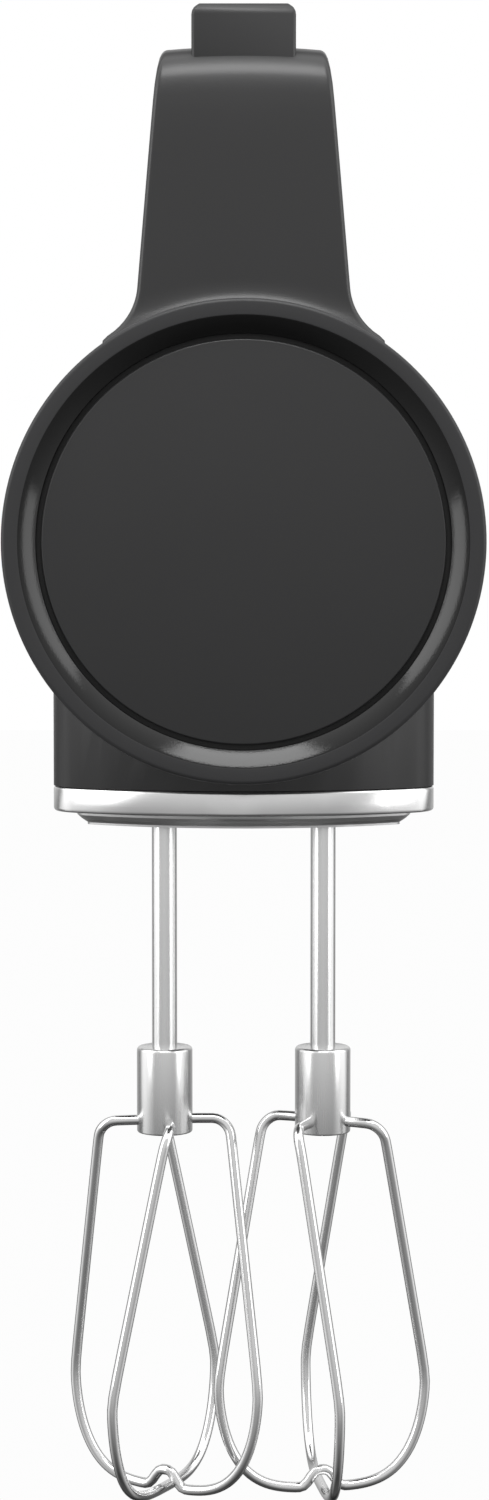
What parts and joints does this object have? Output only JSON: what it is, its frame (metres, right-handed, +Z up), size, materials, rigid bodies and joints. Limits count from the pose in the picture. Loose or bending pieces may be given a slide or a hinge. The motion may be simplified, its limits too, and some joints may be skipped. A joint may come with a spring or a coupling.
{
  "type": "hand mixer",
  "caption": "Cordless hand mixer: round-faced drum body on a skirt with a metal band, loop handle, slide-out battery, geared spindles and removable wire beaters.",
  "frame": {"origin": "midway between the two beater sockets, on the underside of the base plate", "axes": "+Z up along the beaters, front disc faces -Y, battery end faces +Y, +X is to the viewer's right seen from the front"},
  "size_m": [0.1164, 0.176, 0.3759],
  "materials": {
    "matte_black": "satin moulded plastic",
    "ring_black": "satin face, polished chamfer",
    "soft_black": "soft matt rubber",
    "collar_black": "dark moulded plastic",
    "silver_band": "satin silver plating",
    "plate_grey": "satin grey",
    "stainless": "satin stainless steel",
    "polished_wire": "polished stainless wire",
    "cast_case": "cast alloy",
    "bronze": "sintered bronze",
    "steel": "machined steel",
    "magnet": "ferrite",
    "dark_plastic": "glass-filled nylon",
    "natural_nylon": "natural nylon",
    "copper": "enamelled copper wire on laminations",
    "board_green": "solder mask",
    "lead_red": "cable sheath",
    "gold": "plated contact",
    "cell_blue": "shrink sleeve",
    "grey_plastic": "satin grey plastic",
    "clear_lens": "clear lens"
  },
  "bodies": {
    "housing": {"front_disc": "matte_black", "front_ring": "ring_black", "ring_seal": "soft_black", "main_housing": "matte_black", "rear_housing": "matte_black", "handle_shell": "matte_black", "handle_grip": "soft_black", "base_band": "silver_band", "base_plate": "plate_grey", "socket_collars": "collar_black", "gear_case": "cast_case", "gear_lid": "cast_case", "spindle_bushes": "bronze", "motor_can": "steel", "motor_end_bell": "dark_plastic", "motor_magnets": "magnet", "brush_holders": "bronze", "motor_bearings": "steel", "motor_mounts": "soft_black", "eject_spring": "steel", "speed_board": "board_green", "control_board": "board_green", "motor_leads": "lead_red", "battery_dock": "matte_black", "dock_contacts": "gold", "base_screws": "steel", "dock_screws": "steel"},
    "rotor": {"motor_shaft": "steel", "worm": "steel", "armature": "copper", "commutator": "bronze", "cooling_fan": "natural_nylon"},
    "left_spindle": {"left_spindle": "steel", "left_worm_wheel": "natural_nylon", "left_detent_ring": "steel"},
    "left_pin": {"left_push_pin": "steel"},
    "left_beater": {"left_beater_shaft": "stainless", "left_ferrule": "stainless", "left_plain_wire": "polished_wire", "left_hooked_wire": "polished_wire"},
    "left_latch_button": {"left_latch": "grey_plastic"},
    "right_spindle": {"right_spindle": "steel", "right_worm_wheel": "natural_nylon", "right_detent_ring": "steel"},
    "right_pin": {"right_push_pin": "steel"},
    "right_beater": {"right_beater_shaft": "stainless", "right_ferrule": "stainless", "right_plain_wire": "polished_wire", "right_hooked_wire": "polished_wire"},
    "right_latch_button": {"right_latch": "grey_plastic"},
    "eject": {"eject_button": "matte_black", "eject_yoke": "natural_nylon"},
    "speed": {"speed_slider": "grey_plastic"},
    "battery": {"battery_case": "matte_black", "battery_cells": "cell_blue", "battery_contacts": "gold", "latch_springs": "steel", "charge_lens": "clear_lens", "heel_feet": "soft_black"}
  },
  "joints": [
    {"name": "motor_spin", "type": "hinge", "parent": "housing", "child": "rotor", "pos_m": [0, 0, 0.042], "axis": [0, 1, 0], "continuous": true},
    {"name": "left_spin", "type": "hinge", "parent": "housing", "child": "left_spindle", "pos_m": [-0.0202, 0, 0], "axis": [0, 0, 1], "continuous": true},
    {"name": "right_spin", "type": "hinge", "parent": "housing", "child": "right_spindle", "pos_m": [0.0202, 0, 0], "axis": [0, 0, 1], "continuous": true},
    {"name": "eject_press", "type": "slide", "parent": "housing", "child": "eject", "axis": [0, 0, 1], "range_m": [-0.008, 0], "stiffness_N_per_m": 400, "springref_m": 0.006, "deforming": ["eject_spring"]},
    {"name": "left_pin_drop", "type": "slide", "parent": "left_spindle", "child": "left_pin", "axis": [0, 0, 1], "range_m": [-0.008, 0]},
    {"name": "right_pin_drop", "type": "slide", "parent": "right_spindle", "child": "right_pin", "axis": [0, 0, 1], "range_m": [-0.008, 0]},
    {"name": "left_beater_pull", "type": "slide", "parent": "left_pin", "child": "left_beater", "axis": [0, 0, 1], "range_m": [-0.024, 0]},
    {"name": "right_beater_pull", "type": "slide", "parent": "right_pin", "child": "right_beater", "axis": [0, 0, 1], "range_m": [-0.024, 0]},
    {"name": "speed_slide", "type": "slide", "parent": "housing", "child": "speed", "axis": [0, 1, 0], "range_m": [0, 0.018]},
    {"name": "battery_slide", "type": "slide", "parent": "housing", "child": "battery", "axis": [0, 1, 0], "range_m": [0, 0.065]},
    {"name": "left_latch_press", "type": "slide", "parent": "battery", "child": "left_latch_button", "axis": [1, 0, 0], "range_m": [0, 0.0015], "stiffness_N_per_m": 500, "springref_m": -0.002},
    {"name": "right_latch_press", "type": "slide", "parent": "battery", "child": "right_latch_button", "axis": [-1, 0, 0], "range_m": [0, 0.0015], "stiffness_N_per_m": 500, "springref_m": -0.002}
  ],
  "couplings": [
    {"joint": "left_spin", "follows": "motor_spin", "ratio": -0.083333},
    {"joint": "right_spin", "follows": "motor_spin", "ratio": 0.083333},
    {"joint": "left_pin_drop", "follows": "eject_press", "ratio": 1},
    {"joint": "right_pin_drop", "follows": "eject_press", "ratio": 1}
  ]
}
